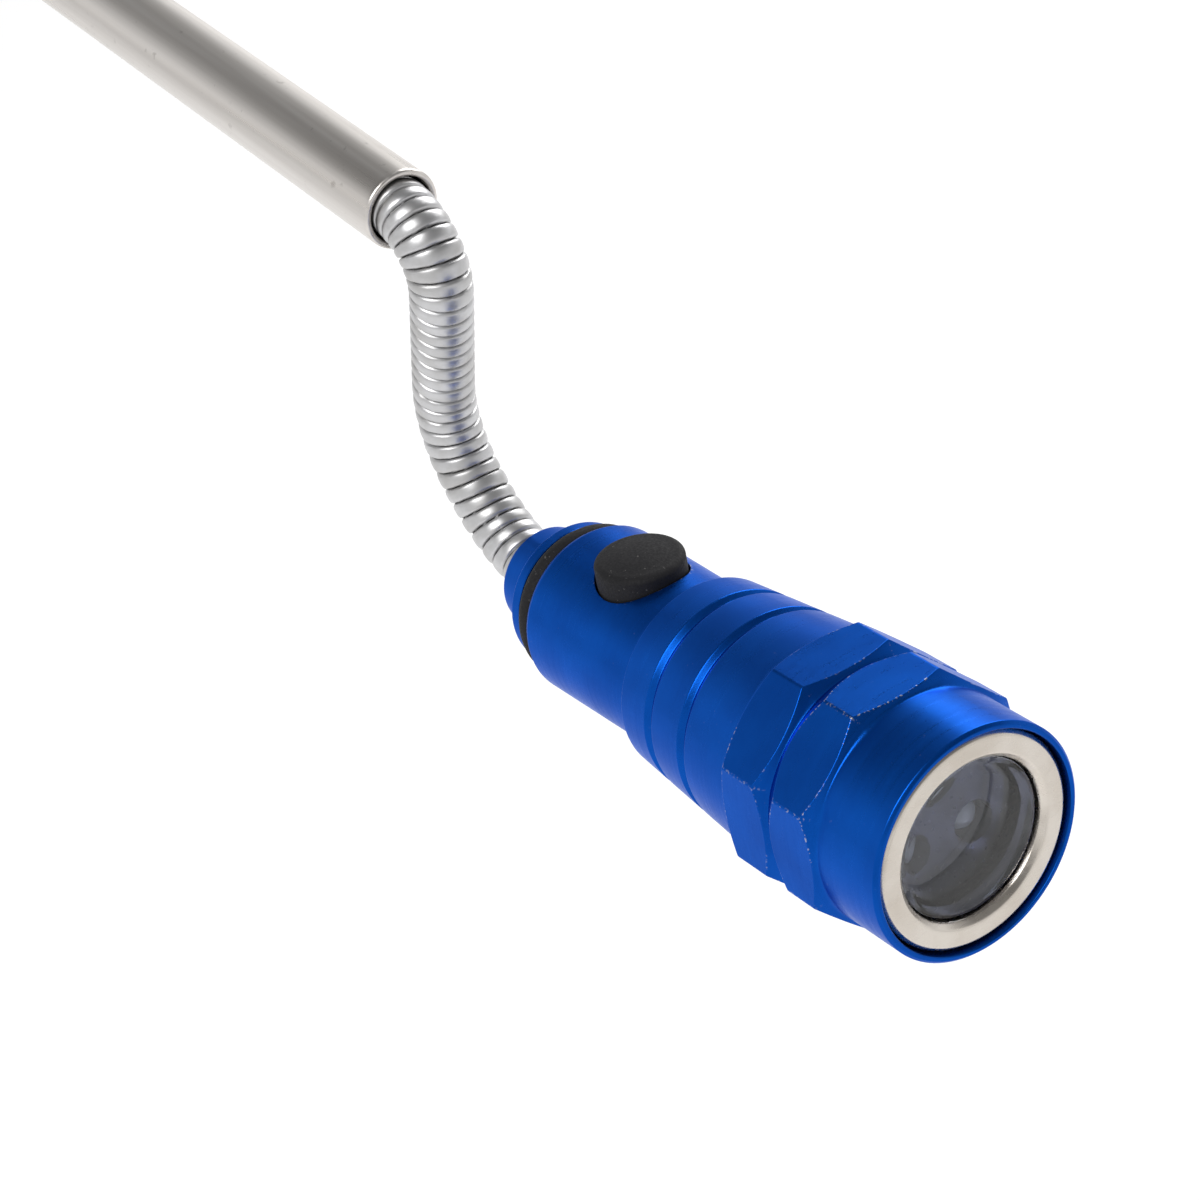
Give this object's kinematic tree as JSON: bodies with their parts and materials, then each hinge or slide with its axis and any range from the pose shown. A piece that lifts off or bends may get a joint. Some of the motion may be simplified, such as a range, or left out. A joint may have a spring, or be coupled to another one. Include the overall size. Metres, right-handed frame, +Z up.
{
  "type": "magnetic pickup tool",
  "caption": "Telescopic magnetic pickup tool with a flexible gooseneck, and a lamp head with a lens inside a ring magnet.",
  "frame": {"origin": "centre of the outer face of the tail magnet, on the axis of the telescopic shaft", "axes": "+X along the shaft from the tail magnet towards the lamp head; +Z up, the side the switch button faces; +Y completes the right-handed frame"},
  "size_m": [0.305, 0.0222, 0.0463],
  "materials": {
    "blue_anodised": "satin royal-blue anodised aluminium with fine turning marks and bright chipped edges",
    "steel_tube": "drawn stainless steel, satin, brushed along its length",
    "chrome": "polished chrome over wound steel strip",
    "nickel": "nickel plating, satin",
    "brass": "plain drawn brass",
    "spring_steel": "bare spring wire",
    "rubber": "matt black rubber",
    "black_plastic": "matt black moulded plastic",
    "white_plastic": "matt white moulded plastic",
    "board": "green lacquered circuit board",
    "clear": "clear moulded plastic"
  },
  "bodies": {
    "handle": {"tube_4": "steel_tube", "tail_plug": "blue_anodised", "tail_magnet": "nickel"},
    "handle_bush": {"tube_bush_3": "brass"},
    "stage_3": {"tube_3": "steel_tube"},
    "stage_2": {"tube_2": "steel_tube", "tube_bush_2": "brass"},
    "stage_1": {"tube_1": "steel_tube", "tube_bush_1": "brass"},
    "neck_root": {"gooseneck_root": "chrome", "gooseneck_bush": "brass"},
    "link_1": {"gooseneck_link_1": "chrome"},
    "link_2": {"gooseneck_link_2": "chrome"},
    "link_3": {"gooseneck_link_3": "chrome"},
    "link_4": {"gooseneck_link_4": "chrome"},
    "link_5": {"gooseneck_link_5": "chrome"},
    "link_6": {"gooseneck_link_6": "chrome"},
    "link_7": {"gooseneck_link_7": "chrome"},
    "link_8": {"gooseneck_link_8": "chrome"},
    "link_9": {"gooseneck_link_9": "chrome"},
    "link_10": {"gooseneck_link_10": "chrome"},
    "link_11": {"gooseneck_link_11": "chrome"},
    "link_12": {"gooseneck_link_12": "chrome"},
    "link_13": {"gooseneck_link_13": "chrome"},
    "link_14": {"gooseneck_link_14": "chrome"},
    "link_15": {"gooseneck_link_15": "chrome"},
    "link_16": {"gooseneck_link_16": "chrome"},
    "cap": {"rear_cap": "blue_anodised", "o_ring": "rubber", "gooseneck_end": "chrome", "gooseneck_ferrule": "brass"},
    "spring": {"rear_contact_spring": "spring_steel"},
    "barrel": {"barrel": "blue_anodised", "battery_sleeve": "black_plastic", "battery_1": "nickel", "battery_2": "nickel", "battery_3": "nickel", "battery_4": "nickel", "switch_body": "black_plastic", "switch_board": "board", "rear_contact": "brass", "front_contact_spring": "spring_steel", "led_board": "board", "led_holder": "white_plastic", "led_1": "clear", "led_2": "clear", "led_3": "clear", "lens": "clear", "ring_magnet": "nickel"},
    "button": {"button": "rubber"},
    "plunger": {"switch_plunger": "white_plastic"}
  },
  "joints": [
    {"name": "tube_3_slide", "type": "slide", "parent": "handle", "child": "handle_bush", "axis": [1, 0, 0], "range_m": [-0.018, 0.0715]},
    {"name": "shaft_swivel", "type": "hinge", "parent": "handle_bush", "child": "stage_3", "pos_m": [0.1, 0, 0], "axis": [1, 0, 0], "continuous": true},
    {"name": "tube_2_slide", "type": "slide", "parent": "stage_3", "child": "stage_2", "axis": [1, 0, 0], "range_m": [-0.013, 0.0765]},
    {"name": "tube_1_slide", "type": "slide", "parent": "stage_2", "child": "stage_1", "axis": [1, 0, 0], "range_m": [-0.086, 0.0035]},
    {"name": "neck_slide", "type": "slide", "parent": "stage_1", "child": "neck_root", "axis": [1, 0, 0], "range_m": [0, 0.028]},
    {"name": "bend_rear_1", "type": "hinge", "parent": "neck_root", "child": "link_1", "pos_m": [0.22825, 0, 0], "axis": [0, 1, 0], "range_deg": [-34, 1]},
    {"name": "bend_rear_2", "type": "hinge", "parent": "link_1", "child": "link_2", "pos_m": [0.23014, 0, -0.00071], "axis": [0, 1, 0], "range_deg": [-34, 1]},
    {"name": "bend_rear_3", "type": "hinge", "parent": "link_2", "child": "link_3", "pos_m": [0.23165, 0, -0.00205], "axis": [0, 1, 0], "range_deg": [-34, 1]},
    {"name": "bend_rear_4", "type": "hinge", "parent": "link_3", "child": "link_4", "pos_m": [0.2326, 0, -0.00384], "axis": [0, 1, 0], "range_deg": [-34, 1]},
    {"name": "bend_rear_5", "type": "hinge", "parent": "link_4", "child": "link_5", "pos_m": [0.23285, 0, -0.00584], "axis": [0, 1, 0], "range_deg": [-34, 1]},
    {"name": "bend_side_6", "type": "hinge", "parent": "link_5", "child": "link_6", "pos_m": [0.23199, 0, -0.00942], "axis": [0.9724, 0, -0.2334], "range_deg": [-18, 18]},
    {"name": "bend_side_7", "type": "hinge", "parent": "link_6", "child": "link_7", "pos_m": [0.23114, 0, -0.013], "axis": [0.9724, 0, -0.2334], "range_deg": [-18, 18]},
    {"name": "bend_side_8", "type": "hinge", "parent": "link_7", "child": "link_8", "pos_m": [0.23028, 0, -0.01657], "axis": [0.9724, 0, -0.2334], "range_deg": [-18, 18]},
    {"name": "bend_front_9", "type": "hinge", "parent": "link_8", "child": "link_9", "pos_m": [0.22942, 0, -0.02015], "axis": [0, -1, 0], "range_deg": [-22, 6]},
    {"name": "bend_front_10", "type": "hinge", "parent": "link_9", "child": "link_10", "pos_m": [0.22945, 0, -0.0231], "axis": [0, -1, 0], "range_deg": [-22, 6]},
    {"name": "bend_front_11", "type": "hinge", "parent": "link_10", "child": "link_11", "pos_m": [0.23019, 0, -0.02596], "axis": [0, -1, 0], "range_deg": [-22, 6]},
    {"name": "bend_front_12", "type": "hinge", "parent": "link_11", "child": "link_12", "pos_m": [0.23161, 0, -0.02854], "axis": [0, -1, 0], "range_deg": [-22, 6]},
    {"name": "bend_side_13", "type": "hinge", "parent": "link_12", "child": "link_13", "pos_m": [0.23296, 0, -0.03001], "axis": [0.7344, 0, 0.6787], "range_deg": [-18, 18]},
    {"name": "bend_front_14", "type": "hinge", "parent": "link_13", "child": "link_14", "pos_m": [0.23432, 0, -0.03148], "axis": [0, -1, 0], "range_deg": [-22, 6]},
    {"name": "bend_front_15", "type": "hinge", "parent": "link_14", "child": "link_15", "pos_m": [0.23679, 0, -0.0331], "axis": [0, -1, 0], "range_deg": [-22, 6]},
    {"name": "bend_front_16", "type": "hinge", "parent": "link_15", "child": "link_16", "pos_m": [0.23958, 0, -0.03407], "axis": [0, -1, 0], "range_deg": [-22, 6]},
    {"name": "bend_front_17", "type": "hinge", "parent": "link_16", "child": "cap", "pos_m": [0.24251, 0, -0.03433], "axis": [0, -1, 0], "range_deg": [-22, 6]},
    {"name": "barrel_unscrew", "type": "hinge", "parent": "cap", "child": "spring", "pos_m": [0.24268, 0, -0.0343], "axis": [0.9877, 0, 0.1561], "range_deg": [0, 1800]},
    {"name": "barrel_advance", "type": "slide", "parent": "spring", "child": "barrel", "axis": [0.9877, 0, 0.1561], "range_m": [0, 0.004]},
    {"name": "button_press", "type": "slide", "parent": "barrel", "child": "button", "axis": [0.1559, -0.0488, -0.9866], "range_m": [0, 0.0008]},
    {"name": "plunger_press", "type": "slide", "parent": "barrel", "child": "plunger", "axis": [0.1559, -0.0488, -0.9866], "range_m": [0, 0.0006]}
  ],
  "couplings": [
    {"joint": "barrel_advance", "follows": "barrel_unscrew", "m_per_rad": 0.00012732},
    {"joint": "plunger_press", "follows": "button_press", "ratio": 0.75}
  ]
}
